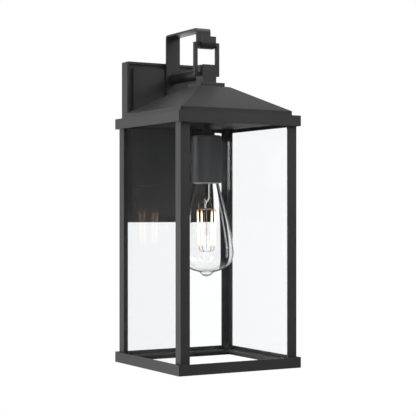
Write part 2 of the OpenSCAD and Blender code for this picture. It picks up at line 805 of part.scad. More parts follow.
module bulb_glass() {
    outer = concat([[neck_r, -neck_up]], flank(flare, 18, 0), flank(bowl, 14, 0), flank(nib, 6, 0), flank(tip, 4, 0));
    inner = concat([[neck_r - bulb_t, -neck_up]], flank(flare, 18, bulb_t), flank(bowl, 14, bulb_t));
    color("lightyellow", 0.35) on_axis(bulb_top) rotate_extrude()
        polygon(concat(flip(outer), [[0, -bulb_h], [0, -shoulder + bulb_t]], backwards(flip(inner))));
}

module bulb_cap() {
    wall = 0.5;
    color(zinc) on_axis(bulb_top) rotate_extrude() polygon([
        [cap_r - wall, 0], [cap_r, 0], [cap_r, cap_h - 2], [cap_r - 2, cap_h],
        [contact_r + 4, cap_h], [contact_r + 4, cap_h - wall], [cap_r - 2.2, cap_h - wall], [cap_r - wall, cap_h - 2.2]
    ]);
}

module bulb_insulator() {
    color("#1c1c20") on_axis(cap_crown) cylinder(r1 = contact_r + 5.2, r2 = contact_r + 0.6, h = insulator_h);
}

module bulb_contact() {
    color("lightgrey") on_axis(contact_foot) cylinder(r = contact_r, h = contact_h);
}

// Flared glass tube that carries the leads, pressed flat at its foot
module bulb_mount() {
    wall = 0.7;
    color("lightcyan", 0.5) on_axis(bulb_top) {
        rotate_extrude() polygon([
            [mount_r, -pinch_top], [mount_r, -12], [mount_r + 2, -5], [neck_r - bulb_t - 0.3, neck_up - 0.4],
            [neck_r - bulb_t - 1.2, neck_up - 0.4], [mount_r + 1, -5], [mount_r - wall, -12], [mount_r - wall, -pinch_top]
        ]);
        translate([0, 0, -pinch_foot]) linear_extrude(pinch_foot - pinch_top) square([1.7 * mount_r, 2.6], center = true);
    }
}

// A straight round bar between two points, given as [x, y, z]
module bar(a, b, r) {
    way = b - a;
    length = norm(way);
    translate(a) rotate([0, acos(way[2] / length), atan2(way[1], way[0])]) cylinder(r = r, h = length, $fn = 24);
}

// A wire bent at each inner point of its route, with a bead of the same metal at the bends
module wire(points) {
    for (i = [1:len(points) - 1]) bar(points[i - 1], points[i], lead_r);
    for (i = [1:len(points) - 2]) translate(points[i]) sphere(r = 1.5 * lead_r, $fn = 24);
}

// The point on a filament stick's line, at a level below the cap
function stick_point(i, level) =
    let (share = (level - stick_top) / (stick_foot - stick_top),
         far = stick_top_r + share * (stick_foot_r - stick_top_r),
         turn = i * 360 / sticks)
    [far * cos(turn), far * sin(turn), -level];

// Two leads from the pressed glass, each forked to the tops of half of the sticks
module bulb_leads() {
    half = ceil(sticks / 2);
    color(zinc) on_axis(bulb_top) for (s = [0, 1]) {
        turn = (s * half + (half - 1) / 2) * 360 / sticks;
        fork = [1.8 * cos(turn), 1.8 * sin(turn), -pinch_foot - 1.5];
        bar(fork + [0, 0, 1.5], fork, lead_r);
        translate(fork) sphere(r = 1.5 * lead_r, $fn = 24);
        for (i = [s * half:min((s + 1) * half, sticks) - 1])
            bar(fork, stick_point(i, stick_top), lead_r);
    }
}

module bulb_filaments() {
    color("orange") on_axis(bulb_top) for (i = [0:sticks - 1])
        bar(stick_point(i, stick_top + 0.5), stick_point(i, stick_foot), stick_r);
}

// Centre wire with a cross at its foot that holds the sticks
module bulb_support() {
    hub = [0, 0, -cross_level];
    color(zinc) on_axis(bulb_top) {
        bar([0, 0, -pinch_foot], hub, lead_r);
        translate(hub) sphere(r = 2 * lead_r, $fn = 24);
        for (i = [0:sticks - 1])
            wire([hub, stick_point(i, cross_level), stick_point(i, stick_foot + 0.1)]);
    }
}

backplate();
crossbar();
side_screws();
earth_screw();
strap_arm();
strap_screws();
arm_tube();
arm_washer();
arm_nut();
wire_bushing();
link();
hanger_block();
cap_plate();
roof();
roof_screws();
top_frame();
ceiling_plate();
bottom_frame();
post(0);  // post_rear_right
post(90);  // post_rear_left
post(180);  // post_front_left
post(270);  // post_front_right
pane(0, glass_half);  // pane_front
pane(90, glass_inner - pane_play);  // pane_right
pane(180, glass_half);  // pane_rear
pane(270, glass_inner - pane_play);  // pane_left
pane_clips();
clip_screws();
stem();
stem_washers();
stem_nuts();
socket_cup();
socket_body();
socket_shell();
socket_contact();
terminal_screws();
bulb_glass();
bulb_cap();
bulb_insulator();
bulb_contact();
bulb_mount();
bulb_leads();
bulb_filaments();
bulb_support();
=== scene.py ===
# %% [markdown]
# # An outdoor wall lantern, dressed
#
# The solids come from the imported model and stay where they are. This lesson gives each of them a
# finish, rebuilds the lamp's thin glass, wire and sheet pieces as smooth surfaces, and lights the
# whole like a product on white. All lengths are in metres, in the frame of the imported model: +Z is
# up, the wall lies at Y = 0 and the lantern stands out towards -Y.

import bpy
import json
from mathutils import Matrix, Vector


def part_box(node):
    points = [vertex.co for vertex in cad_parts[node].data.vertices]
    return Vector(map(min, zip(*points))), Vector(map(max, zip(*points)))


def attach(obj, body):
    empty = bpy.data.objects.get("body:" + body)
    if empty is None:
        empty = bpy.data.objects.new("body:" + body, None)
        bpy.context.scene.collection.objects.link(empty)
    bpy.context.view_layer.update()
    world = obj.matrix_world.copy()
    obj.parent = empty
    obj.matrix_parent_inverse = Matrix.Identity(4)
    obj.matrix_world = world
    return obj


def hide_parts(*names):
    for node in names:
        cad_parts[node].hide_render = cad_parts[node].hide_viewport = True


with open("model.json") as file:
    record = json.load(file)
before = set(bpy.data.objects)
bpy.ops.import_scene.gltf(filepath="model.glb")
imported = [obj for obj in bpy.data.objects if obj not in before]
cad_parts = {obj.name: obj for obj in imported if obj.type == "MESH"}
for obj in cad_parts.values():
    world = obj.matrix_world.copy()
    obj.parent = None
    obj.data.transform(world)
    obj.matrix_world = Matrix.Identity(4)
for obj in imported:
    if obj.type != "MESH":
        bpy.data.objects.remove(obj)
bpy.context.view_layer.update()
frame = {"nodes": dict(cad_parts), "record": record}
nodes = frame["nodes"]

# %% Other modules and the scene's settings
import json
import math

import bmesh
import bpy
import numpy as np
from mathutils import Vector

scene = bpy.context.scene
scene.view_settings.view_transform = "Standard"
TAU = 2 * math.pi

# %% [markdown]
# ## Camera
#
# The lantern is seen level, from 30 degrees to its left, with a long lens at about a metre and a
# half. A short lens close by would show the same sides, but it would splay the uprights and steepen
# the roof. A long lens keeps them calm, as in a catalogue. The view is framed by shifting the lens
# and not by tilting the camera, because a tilt makes upright edges lean.

# %% Camera
VIEW_TURN = math.radians(-30)
CAMERA_PLACE = (-0.7422, -1.3917, -0.087)
LENS, LENS_SHIFT = 108.5, 0.012

lens = bpy.data.cameras.new("camera")
lens.sensor_width = 36
lens.lens = LENS
lens.shift_y = LENS_SHIFT
camera = bpy.data.objects.new("camera", lens)
camera.location = CAMERA_PLACE
camera.rotation_euler = (math.radians(90), 0, VIEW_TURN)
scene.collection.objects.link(camera)
scene.camera = camera
print("camera", CAMERA_PLACE, "lens", LENS)

# %% [markdown]
# ## Shader maths as Python
#
# A finish is a small sum on sockets, such as `0.35 + 0.1 * grain`. Its nodes could be made and linked
# one by one, but then nobody can read the sum. The class below wraps a socket and overloads the
# operators, so that the sum is written as it is read and each operator adds its Math node.
# `Tree.add` makes any other node: its settings first, then its inputs.

# %% Socket arithmetic
class Value:
    """A socket with operators: each operation adds one Math node to the socket's tree."""

    def __init__(self, tree, socket):
        self.tree, self.socket = tree, socket

    def math(self, operation, *others):
        return self.tree.add("ShaderNodeMath", {"operation": operation}, [self, *others])

    def __add__(self, other):
        return self.math("ADD", other)

    def __mul__(self, other):
        return self.math("MULTIPLY", other)

    def __rsub__(self, other):
        return self.tree.add("ShaderNodeMath", {"operation": "SUBTRACT"}, [other, self])

    __radd__, __rmul__ = __add__, __mul__

    def clip(self):
        """The value held between 0 and 1."""
        return self.tree.add("ShaderNodeClamp", {}, [self])

    def band(self, low, high):
        """0 below low, 1 above high and smooth between."""
        return self.tree.add("ShaderNodeMapRange", {"interpolation_type": "SMOOTHSTEP"}, [self, low, high])

    def out(self, key):
        """Another output of the same node, by place or by name."""
        return Value(self.tree, self.socket.node.outputs[key])


class Tree:
    """The node tree of a material or of the world."""

    def __init__(self, owner):
        owner.use_nodes = True
        self.nodes, self.links = owner.node_tree.nodes, owner.node_tree.links
        self.nodes.clear()

    def add(self, kind, settings=None, values=(), out=0):
        """Adds a node: settings are its properties, values its inputs by place or by name."""
        node = self.nodes.new(kind)
        for name, setting in (settings or {}).items():
            setattr(node, name, setting)
        pairs = values.items() if isinstance(values, dict) else enumerate(values)
        for key, value in pairs:
            if isinstance(value, Value):
                self.links.new(value.socket, node.inputs[key])
            else:
                node.inputs[key].default_value = value
        return Value(self, node.outputs[out]) if node.outputs else None

    def place(self):
        """Object coordinates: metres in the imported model's frame."""
        return self.add("ShaderNodeTexCoord").out("Object")

    def noise(self, scale, detail=2.0):
        """Soft noise between 0 and 1, with about as many lumps to the metre as scale says."""
        return self.add("ShaderNodeTexNoise", {}, {"Vector": self.place(), "Scale": scale, "Detail": detail})

    def mix(self, share, a, b):
        """A colour between a and b."""
        return self.add("ShaderNodeMix", {"data_type": "RGBA"}, {0: share, 6: a, 7: b}, out=2)

    def bump(self, height, depth, strength):
        """A normal from a height between 0 and 1 that stands for depth metres."""
        return self.add("ShaderNodeBump", {}, {"Strength": strength, "Distance": depth, "Height": height})

    def bounced(self, kind):
        """1 for a ray that a surface has bounced in this way, Glossy or Diffuse, and 0 for others. It
        stays 1 when the ray goes through glass afterwards."""
        return self.add("ShaderNodeLightPath").out(kind + " Depth").clip()

    def principled(self, inputs):
        return self.add("ShaderNodeBsdfPrincipled", {}, inputs)

    def finish(self, shader):
        self.add("ShaderNodeOutputMaterial", {}, {"Surface": shader})


# %% [markdown]
# ## White studio
#
# The background is white to the camera, and stays white through the panes and the lamp. A plain
# white world would do that too, but the coat and the glass would mirror it from all sides and turn
# grey. So a mirrored ray sees the studio's room instead: nearly dark, a little brighter towards the
# wall, and with one bright sheet straight behind the lantern. The sheet stops short on the right and
# below, and the dark beyond its edges draws the thin outline of the bulb. A scattered ray sees one
# even tone. A ray that goes straight through glass sees a white a little above 1, which makes up for
# what the panes take away.

# %% World
AMBIENT, SIDE, BACKDROP, THROUGH_GLASS = 0.444, 0.067, 0.614, 1.13
GLIMMER = 0.02  # what a mirrored ray sees where there is nothing else
# Where each edge of the room begins and ends, as a share of the ray's way to the wall, along the
# view, to the right and down.
WALL_SIDE, SHEET_SPREAD, SHEET_RIGHT, SHEET_FOOT = (-0.35, 0.45), (0.55, 0.80), (0.62, 0.72), (0.12, 0.25)
SHEET_WAY = (0.5, 0.866)  # the level way from the camera to the lantern

world = bpy.data.worlds.new("studio")
scene.world = world
sky = Tree(world)
across = sky.add("ShaderNodeSeparateXYZ", {}, [sky.add("ShaderNodeTexCoord").out("Generated")])
toward_wall, downward = across.out(1), 0 - across.out(2)
inside_sheet = (1 - across.band(*SHEET_RIGHT)) * (1 - downward.band(*SHEET_FOOT))
sheet = (across * SHEET_WAY[0] + toward_wall * SHEET_WAY[1]).band(*SHEET_SPREAD) * inside_sheet
room = toward_wall.band(*WALL_SIDE) * SIDE + sheet * BACKDROP + GLIMMER
mirrored, scattered = sky.bounced("Glossy"), sky.bounced("Diffuse")
straight = THROUGH_GLASS - (THROUGH_GLASS - 1) * sky.add("ShaderNodeLightPath").out("Is Camera Ray")
level = scattered * AMBIENT + (1 - scattered) * (mirrored * room + (1 - mirrored) * straight)
background = sky.add("ShaderNodeBackground", {}, {"Color": (1, 1, 1, 1), "Strength": level})
sky.add("ShaderNodeOutputWorld", {}, {"Surface": background})
print("room levels:", AMBIENT, SIDE, BACKDROP, GLIMMER)

# %% [markdown]
# ## Lamps
#
# Five soft boxes stand round the lantern, as in a product studio. Small lamps or a sun would draw
# hard shadows across the flat faces, and large ones give each face one even tone. Each side of the
# cage has a tone of its own, so each box is placed for the faces that it has to light. The low box
# at the rear lifts the ceiling of the cage. It stands in the view, so straight looks pass through it.

# %% Lamps
LANTERN = (0, -0.102, -0.08)
# Azimuth and height in degrees, distance, (width, height) and power in watts.
SOFT_BOXES = {
    "left_rear_box": (135, -2.5, 1.6, (0.4, 1.1), 7.5),
    "right_front_box": (320, 35, 1.6, (0.8, 0.8), 8.9),
    "front_box": (240, 10, 1.75, (0.5, 0.5), 2.7),
    "top_box": (300, 65, 1.8, (1.2, 1.2), 16.3),
    "low_rear_box": (60, -20, 1.6, (0.6, 0.6), 5.0),
}


def soft_box(name, azimuth, height, distance, size, power):
    """An area lamp that faces the lantern, at an azimuth and height seen from it."""
    data = bpy.data.lights.new(name, "AREA")
    data.shape, data.energy = "RECTANGLE", power
    data.size, data.size_y = size
    lamp = bpy.data.objects.new(name, data)
    turn, rise = math.radians(azimuth), math.radians(height)
    way = Vector((math.cos(turn) * math.cos(rise), math.sin(turn) * math.cos(rise), math.sin(rise)))
    lamp.location = Vector(LANTERN) + distance * way
    lamp.rotation_euler = way.to_track_quat("Z", "Y").to_euler()
    scene.collection.objects.link(lamp)
    return lamp


lamps = {name: soft_box(name, *facts) for name, facts in SOFT_BOXES.items()}
low_box = lamps["low_rear_box"]
low_box.visible_camera = low_box.visible_transmission = False
print("lamps:", ", ".join(lamps))

# %% [markdown]
# ## Floor
#
# The pale floor lies well below, as under a lantern that hangs on its wall. One square is enough,
# but from above its edge would show. So to straight looks it fades into the white of the background,
# over the distance from the model's origin, while mirrored and scattered rays still see it pale.

# %% Floor
FLOOR_DROP, FLOOR_HALF, FLOOR_FADE = 1.7, 2, (1.75, 2.55)

corners = [(x * FLOOR_HALF, y * FLOOR_HALF, -FLOOR_DROP) for x, y in ((-1, -1), (1, -1), (1, 1), (-1, 1))]
floor_mesh = bpy.data.meshes.new("floor")
floor_mesh.from_pydata(corners, [], [(0, 1, 2, 3)])
floor = bpy.data.objects.new("floor", floor_mesh)
scene.collection.objects.link(floor)
floor_finish = bpy.data.materials.new("pale_floor")
tree = Tree(floor_finish)
away = tree.add("ShaderNodeVectorMath", {"operation": "LENGTH"}, [tree.place()], out=1)
looked_at = (1 - tree.bounced("Glossy")) * (1 - tree.bounced("Diffuse"))
pale = tree.principled({"Base Color": (0.8, 0.8, 0.79, 1), "Roughness": 0.8})
white = tree.add("ShaderNodeEmission", {}, {"Color": (1, 1, 1, 1), "Strength": 1.0})
tree.finish(tree.add("ShaderNodeMixShader", {}, [away.band(*FLOOR_FADE) * looked_at, pale, white]))
floor.data.materials.append(floor_finish)
print("floor", 2 * FLOOR_HALF, "wide,", FLOOR_DROP, "below the origin")

# %% [markdown]
# ## Powder coat
#
# All the outer metal has one black powder coat: a thin satin skin with a very fine peel, and with a
# faint change of gloss from place to place. One flat black would look like plastic on faces this
# large. A coarse noise makes the drift and a fine one the peel. Both read object coordinates, so
# that nothing needs unwrapping. The cup gets a duller copy of the coat whose paler colour is painted
# light: it stands in for the soft highlight on the cup's middle.

# %% Powder coat
DRIFT_SCALE, PEEL_SCALE, PEEL_DEPTH, PEEL_STRENGTH = 18, 700, 0.00001, 0.2
DARKER, LIGHTER = (0.9, 0.9, 0.92), (1.1, 1.1, 1.13)  # red, green and blue as shares of the shade


def black_coat(name, shade, gloss):
    """Near black: colour and roughness follow one slow noise, and a finer noise raises a peel of a
    hundredth of a millimetre."""
    material = bpy.data.materials.new(name)
    tree = Tree(material)
    drift = tree.noise(DRIFT_SCALE)
    dark, light = ((*(share * shade for share in shares), 1) for shares in (DARKER, LIGHTER))
    tree.finish(tree.principled({
        "Base Color": tree.mix(drift, dark, light), "Roughness": 0.42 + 0.08 * drift,
        "IOR": 1.5, "Specular IOR Level": gloss,
        "Normal": tree.bump(tree.noise(PEEL_SCALE, 1.0), PEEL_DEPTH, PEEL_STRENGTH)}))
    return material


# %% [markdown]
# ## Clear glass
#
# The panes and the lamp are clear glass. A mix of a transparent and a glossy shader is quicker, but
# it doesn't bend what lies behind, and the bend is what makes a bulb look like glass. So this is the
# Principled shader with full transmission, and a very faint wave as drawn glass has. Shadow rays are
# let straight through, because the inside of the cage would be dark otherwise.

# %% Clear glass
EDGE_SHADE_BAND = (0.78, 0.97)  # Layer Weight's facing, where the edge colour begins and where it is full; on the lamp that colour is a painted dark outline
WAVE_SCALE, WAVE_DEPTH, WAVE_STRENGTH = 6, 0.0002, 0.05


def clear_glass(name, ior, colour, edge_tint_and_shade):
    """Clear glass. Where it is seen edge on, its colour turns to the edge colour: on the panes only a little
    darker and greener, on the lamp near black, which is a painted dark outline, painted shade at the bulb's
    edge."""
    material = bpy.data.materials.new(name)
    tree = Tree(material)
    edge_shade_share = tree.add("ShaderNodeLayerWeight").out("Facing").band(*EDGE_SHADE_BAND)
    clear = tree.principled({
        "Base Color": tree.mix(edge_shade_share, colour, edge_tint_and_shade), "Roughness": 0.0, "IOR": ior,
        "Transmission Weight": 1.0,
        "Normal": tree.bump(tree.noise(WAVE_SCALE, 1.0), WAVE_DEPTH, WAVE_STRENGTH)})
    let = tree.add("ShaderNodeBsdfTransparent", {}, {"Color": colour})
    shadow = tree.add("ShaderNodeLightPath").out("Is Shadow Ray")
    tree.finish(tree.add("ShaderNodeMixShader", {}, [shadow, clear, let]))
    return material


# %% [markdown]
# ## Metals, plastic and porcelain
#
# The small parts behind the plate and in the socket are zinc, brass, nickel, plastic and porcelain.
# They hardly show, and a brushed pattern would be too fine to see on them. A fine grain in the gloss
# is enough to keep each from looking like one flat colour.

# %% Metals, plastic and porcelain
METAL_GRAIN, PLAIN_GRAIN = 400, 120


def metal(name, colour, rough):
    """A bare metal: its roughness rises from rough by up to 0.12 with a fine noise."""
    material = bpy.data.materials.new(name)
    tree = Tree(material)
    tree.finish(tree.principled({
        "Base Color": colour, "Metallic": 1.0, "Roughness": rough + 0.12 * tree.noise(METAL_GRAIN)}))
    return material


def plain(name, dark, light, rough):
    """A paint, plastic or porcelain: one noise moves its colour from dark to light and its roughness
    up from rough by 0.1."""
    material = bpy.data.materials.new(name)
    tree = Tree(material)
    grain = tree.noise(PLAIN_GRAIN)
    tree.finish(tree.principled({
        "Base Color": tree.mix(grain, dark, light), "Roughness": rough + 0.1 * grain}))
    return material


# %% [markdown]
# ## Glowing sticks
#
# Each filament stick is a strip of tiny lights under a yellow phosphor. It glows almost white along
# its middle and orange towards its two ends, where the phosphor gets less light. It could be drawn
# on a picture and wrapped round, but the change is a function of height alone, so it is made from
# the object's Z and needs no picture.

# %% Filament
STICKS_LOW, STICKS_HIGH = (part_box("bulb_filaments")[i][2] for i in (0, 1))
END_DARK, END_PALE = 0.0005, 0.006
GLOW = 3.2


def filament():
    """Emission over height: orange up to 0.5 mm from either end, warm white beyond 6 mm."""
    material = bpy.data.materials.new("filament")
    tree = Tree(material)
    height = tree.add("ShaderNodeSeparateXYZ", {}, [tree.place()]).out(2)
    above_foot = height.band(STICKS_LOW + END_DARK, STICKS_LOW + END_PALE)
    near_top = height.band(STICKS_HIGH - END_PALE, STICKS_HIGH - END_DARK)
    inside = above_foot * (1 - near_top)
    tree.finish(tree.principled({
        "Base Color": tree.mix(inside, (0.60, 0.32, 0.14, 1), (1.0, 0.80, 0.50, 1)), "Roughness": 0.5,
        "Emission Color": tree.mix(inside, (0.16, 0.05, 0.012, 1), (1.0, 0.68, 0.40, 1)),
        "Emission Strength": GLOW}))
    return material


# %% One finish for each of the model's material slots
finishes = {
    "black_coat": black_coat("black_coat", 0.029, 0.5),
    "zinc_steel": metal("zinc_steel", (0.62, 0.63, 0.64, 1), 0.32),
    "green_steel": plain("green_steel", (0.03, 0.22, 0.08, 1), (0.06, 0.34, 0.14, 1), 0.35),
    "black_plastic": plain("black_plastic", (0.015, 0.015, 0.015, 1), (0.025, 0.025, 0.025, 1), 0.45),
    "clear_pane": clear_glass("clear_pane", 1.4, (0.988, 0.996, 1.0, 1), (0.90, 0.94, 0.95, 1)),
    "porcelain": plain("porcelain", (0.82, 0.79, 0.73, 1), (0.88, 0.86, 0.81, 1), 0.15),
    "brass": metal("brass", (0.72, 0.56, 0.28, 1), 0.22),
    # The lamp glass's near-black edge colour is painted shade: a dark outline painted where the bulb is seen
    # edge on.
    "lamp_glass": clear_glass("lamp_glass", 1.42, (1.0, 1.0, 1.0, 1), (0.06, 0.06, 0.06, 1)),
    "nickel": metal("nickel", (0.7, 0.69, 0.67, 1), 0.2),
    "black_glass": plain("black_glass", (0.015, 0.015, 0.02, 1), (0.025, 0.025, 0.03, 1), 0.05),
    "filament": filament(),
}
slot_of = {part["node"]: part["material_slot"] for part in frame["record"]["subparts"]}
body_of = {node: body for body, names in frame["record"]["behaviour"]["bodies"].items() for node in names}
for name, solid in nodes.items():
    solid.data.materials.clear()
    solid.data.materials.append(finishes[slot_of[name]])
print("finishes:", ", ".join(finishes))

# %% [markdown]
# ## Softened sheet metal
#
# Bent and coated steel has no knife edges: every edge is rounded by a few tenths of a millimetre and
# catches a thin line of light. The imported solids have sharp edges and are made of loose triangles.
# For each coated piece a copy is merged, its flat faces are joined again, and a small Bevel modifier
# rounds the edges; the copy then stands for the solid. A Subdivision Surface would round the edges
# too, but it would bend the flat faces. A Weighted Normal modifier keeps the light flat on them.
#
# Bevelling keeps every size. Only the posts' legs and the cup's wall are made 0.4 mm wider than the
# solids, because on the real lantern no daylight shows between the cup and the post behind it.

# %% Pieces made from a solid's copy
MERGE, FLAT, SHARP = 1e-6, math.radians(0.5), math.radians(30)
ROUND_STEPS, FLAT_WEIGHT = 2, 100


def stand_for(piece, *names):
    """Puts a finished piece in the scene in place of solids: same body, same material slot."""
    scene.collection.objects.link(piece)
    piece.data.materials.clear()
    piece.data.materials.append(finishes[slot_of[names[0]]])
    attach(piece, body_of[names[0]])
    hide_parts(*names)
    return piece


def softened(name, width, widen=None):
    """A merged copy of a solid with its edges rounded: points closer than 1 micrometre become one,
    faces in one plane become one, edges over 30 degrees get a round of the given width. A widen
    function may move the points first."""
    mesh = bpy.data.meshes.new(name + "_soft")
    shape = bmesh.new()
    shape.from_mesh(nodes[name].data)
    bmesh.ops.remove_doubles(shape, verts=shape.verts, dist=MERGE)
    bmesh.ops.dissolve_limit(shape, angle_limit=FLAT, verts=shape.verts, edges=shape.edges)
    for face in shape.faces:
        face.smooth = True
    shape.to_mesh(mesh)
    shape.free()
    if widen:
        points = np.empty(3 * len(mesh.vertices))
        mesh.vertices.foreach_get("co", points)
        mesh.vertices.foreach_set("co", widen(points.reshape(-1, 3)).ravel())
        mesh.update()
    piece = bpy.data.objects.new(name + "_soft", mesh)
    edge = piece.modifiers.new("edges", "BEVEL")
    edge.width, edge.segments = width, ROUND_STEPS
    edge.limit_method, edge.angle_limit = "ANGLE", SHARP
    flat = piece.modifiers.new("flat_faces", "WEIGHTED_NORMAL")
    flat.weight = FLAT_WEIGHT
    return stand_for(piece, name)


# %% Wider legs and a wider cup
WIDER, LEG_EDGE, CUP_WALL = 0.0004, 0.0001, 0.0003
CAGE_AXIS = [(a + b) / 2 for a, b in zip(*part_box("roof"))][:2]


def wider_legs(points):
    """The free edge of each leg of an angle grows: the points nearest to the cage's axis in x or in
    y, to within LEG_EDGE, move towards it by WIDER."""
    away = points[:, :2] - CAGE_AXIS
    near = np.abs(away) < np.abs(away).min(axis=0) + LEG_EDGE
    points[:, :2] -= np.sign(away) * near * WIDER
    return points


def wider_cup(points):
    """The cup's outer wall grows: the points furthest from its axis, to within CUP_WALL, move
    outwards by WIDER."""
    away = points[:, :2] - CAGE_AXIS
    radius = np.hypot(away[:, 0], away[:, 1])
    outer = radius > radius.max() - CUP_WALL
    points[:, :2] += away / radius.max() * (outer * WIDER)[:, None]
    return points


# %% Every coated piece, with the width of its rounded edges
SOFT = {
    "backplate": 0.0004, "strap_arm": 0.0004, "arm_tube": 0.0003, "link": 0.0005, "hanger_block": 0.0005,
    "cap_plate": 0.0005, "roof": 0.0004, "top_frame": 0.0004, "ceiling_plate": 0.0003,
    "bottom_frame": 0.0004, "post_front_left": 0.0003, "post_front_right": 0.0003,
    "post_rear_right": 0.0003, "post_rear_left": 0.0003, "socket_cup": 0.0003, "stem": 0.0002,
}
soft_pieces = {}
for name, width in SOFT.items():
    widen = wider_legs if name.startswith("post") else wider_cup if name == "socket_cup" else None
    soft_pieces[name] = softened(name, width, widen)
    faces, loose = len(soft_pieces[name].data.polygons), len(nodes[name].data.polygons)
    print(f"{name}: {loose} loose faces became {faces}")
# The cup's paler coat is painted light: a lighter copy of the black coat that stands in for the soft highlight
# on the cup.
soft_pieces["socket_cup"].data.materials[0] = black_coat("cup_coat_painted_highlight", 0.07, 0.3)

# %% [markdown]
# ## Surfaces on a grid
#
# The lamp is blown and drawn glass, so its pieces are smooth surfaces of two parameters. Each is a
# grid of points computed as one array, and neighbouring points become four-sided faces. A Screw
# modifier could turn a profile too, but a grid also takes the flattened stem, the bent wires and the
# screw thread.

# %% Grids to meshes
POLE = 1e-7


def grid_piece(name, *grids, skip=()):
    """A mesh from (rows, columns, 3) grids that close round their columns. Face (i, j) joins rows i
    and i+1 and columns j and j+1; rows in skip are left open. Points at a pole are merged."""
    points, faces, first = [], [], 0
    for grid in grids:
        rows, columns = grid.shape[:2]
        kept = [row for row in range(rows - 1) if row not in skip]
        i, j = np.meshgrid(kept, np.arange(columns), indexing="ij")
        right = (j + 1) % columns
        quads = [i * columns + j, i * columns + right, (i + 1) * columns + right, (i + 1) * columns + j]
        faces.append(first + np.stack(quads, -1).reshape(-1, 4))
        points.append(grid.reshape(-1, 3))
        first += rows * columns
    mesh = bpy.data.meshes.new(name)
    mesh.from_pydata(np.concatenate(points).tolist(), [], np.concatenate(faces).tolist())
    shape = bmesh.new()
    shape.from_mesh(mesh)
    bmesh.ops.remove_doubles(shape, verts=shape.verts, dist=POLE)
    bmesh.ops.recalc_face_normals(shape, faces=shape.faces)
    for face in shape.faces:
        face.smooth = True
    shape.to_mesh(mesh)
    shape.free()
    return bpy.data.objects.new(name, mesh)


# %% Sizes of the lamp, from the solids
glass_low, glass_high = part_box("bulb_glass")
cap_low, cap_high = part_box("bulb_cap")
AXIS = ((glass_low[0] + glass_high[0]) / 2, (glass_low[1] + glass_high[1]) / 2)
CAP_FOOT = cap_low[2]
GLASS_LENGTH = CAP_FOOT - glass_low[2]
GLASS_R = (glass_high[0] - glass_low[0]) / 2
CAP_R = (cap_high[0] - cap_low[0]) / 2
print("lamp axis", [round(v, 5) for v in AXIS], "glass", round(GLASS_LENGTH, 4), "radius", round(GLASS_R, 4))


# %% Rings, profiles and Bezier curves
def rings(wide, deep, height, sides):
    """One ring about the lamp's axis for each row: at angle a the point is
    (axis_x + wide cos a, axis_y + deep sin a, height)."""
    angle = np.arange(sides) * TAU / sides
    return np.stack([AXIS[0] + wide * np.cos(angle), AXIS[1] + deep * np.sin(angle),
                     height + 0 * angle], axis=-1)


def turned(profile, sides=96):
    """Turns a profile of (radius, height) rows about the lamp's axis."""
    return rings(profile[:, :1], profile[:, :1], profile[:, 1:], sides)


def fade(value, low, high):
    """0 below low, 1 above high and smooth between: 3t^2 - 2t^3, with t the share of the way."""
    t = np.clip((value - low) / (high - low), 0, 1)
    return t * t * (3 - 2 * t)


def bezier(points, t):
    """Points of a cubic Bezier: (1-t)^3 p0 + 3t(1-t)^2 p1 + 3t^2(1-t) p2 + t^3 p3."""
    p, t = np.array(points, float), t[:, None]
    return (1 - t) ** 3 * p[0] + 3 * t * (1 - t) ** 2 * p[1] + 3 * t ** 2 * (1 - t) * p[2] + t ** 3 * p[3]


def curve(points, count):
    """A cubic Bezier without its last point, and its unit way, which is the slope
    3(1-t)^2 (p1-p0) + 6t(1-t) (p2-p1) + 3t^2 (p3-p2) divided by its length."""
    p, t = np.array(points, float), np.arange(count) / count
    u = t[:, None]
    way = 3 * (1 - u) ** 2 * (p[1] - p[0]) + 6 * u * (1 - u) * (p[2] - p[1]) + 3 * u ** 2 * (p[3] - p[2])
    return bezier(p, t), way / np.linalg.norm(way, axis=1, keepdims=True)


# %% [markdown]
# ## The lamp's glass
#
# The bulb is one blown skin, 0.8 mm thick, that widens from the cap to a belly and closes in a small
# sealed nib. Its outline is four Bezier curves end to end. The inner skin is the same outline moved
# inwards along its normal. A single skin would be simpler, but it would refract like a solid lump:
# only two skins with air inside look like a real bulb.

# %% Bulb glass
GLASS_T, NECK_IN, INTO_CAP = 0.0008, 0.0008, 0.001
NIB_R, TIP_R, TIP_LIFT, NIB_FILL = 0.009, 0.0036, 0.00075, 0.0003

neck, foot = CAP_R - NECK_IN, GLASS_LENGTH
belly, shoulder = 0.77 * foot, 0.954 * foot
# Each point is (radius, distance below the cap's foot), and the two in the middle are handles.
flare = curve([[neck, 0], [neck + 0.0057, 0.2 * foot],
               [GLASS_R - 0.0005, 0.56 * foot], [GLASS_R, belly]], 48)
bowl = curve([[GLASS_R, belly], [GLASS_R, belly + 0.012],
              [0.69 * GLASS_R, shoulder - 0.0023], [NIB_R, shoulder]], 40)
nib = curve([[NIB_R, shoulder], [0.0076, shoulder + 0.0009],
             [0.0060, foot - 0.0017], [TIP_R, foot - TIP_LIFT]], 14)
tip = curve([[TIP_R, foot - TIP_LIFT], [0.0024, foot - 0.00025], [0.0012, foot], [0, foot]], 10)
outer = np.concatenate([[[neck, -INTO_CAP]], flare[0], bowl[0], nib[0], tip[0], [[0, foot]]])
# The inner skin stops three points before the nib's end, where the glass has run together.
skin, way = (np.concatenate([flare[k], bowl[k], nib[k][:-3]]) for k in (0, 1))
inner = skin + GLASS_T * np.stack([-way[:, 1], way[:, 0]], 1)
inner = np.concatenate([[[neck - GLASS_T, -INTO_CAP]], inner, [[0, inner[-1, 1] + NIB_FILL]]])[::-1]
profile = np.concatenate([outer, inner, outer[:1]])
profile[:, 1] = CAP_FOOT - profile[:, 1]
bulb_skin = stand_for(grid_piece("bulb_skin", turned(profile, 128), skip=(len(outer) - 1,)), "bulb_glass")
print("bulb skin faces:", len(bulb_skin.data.polygons))

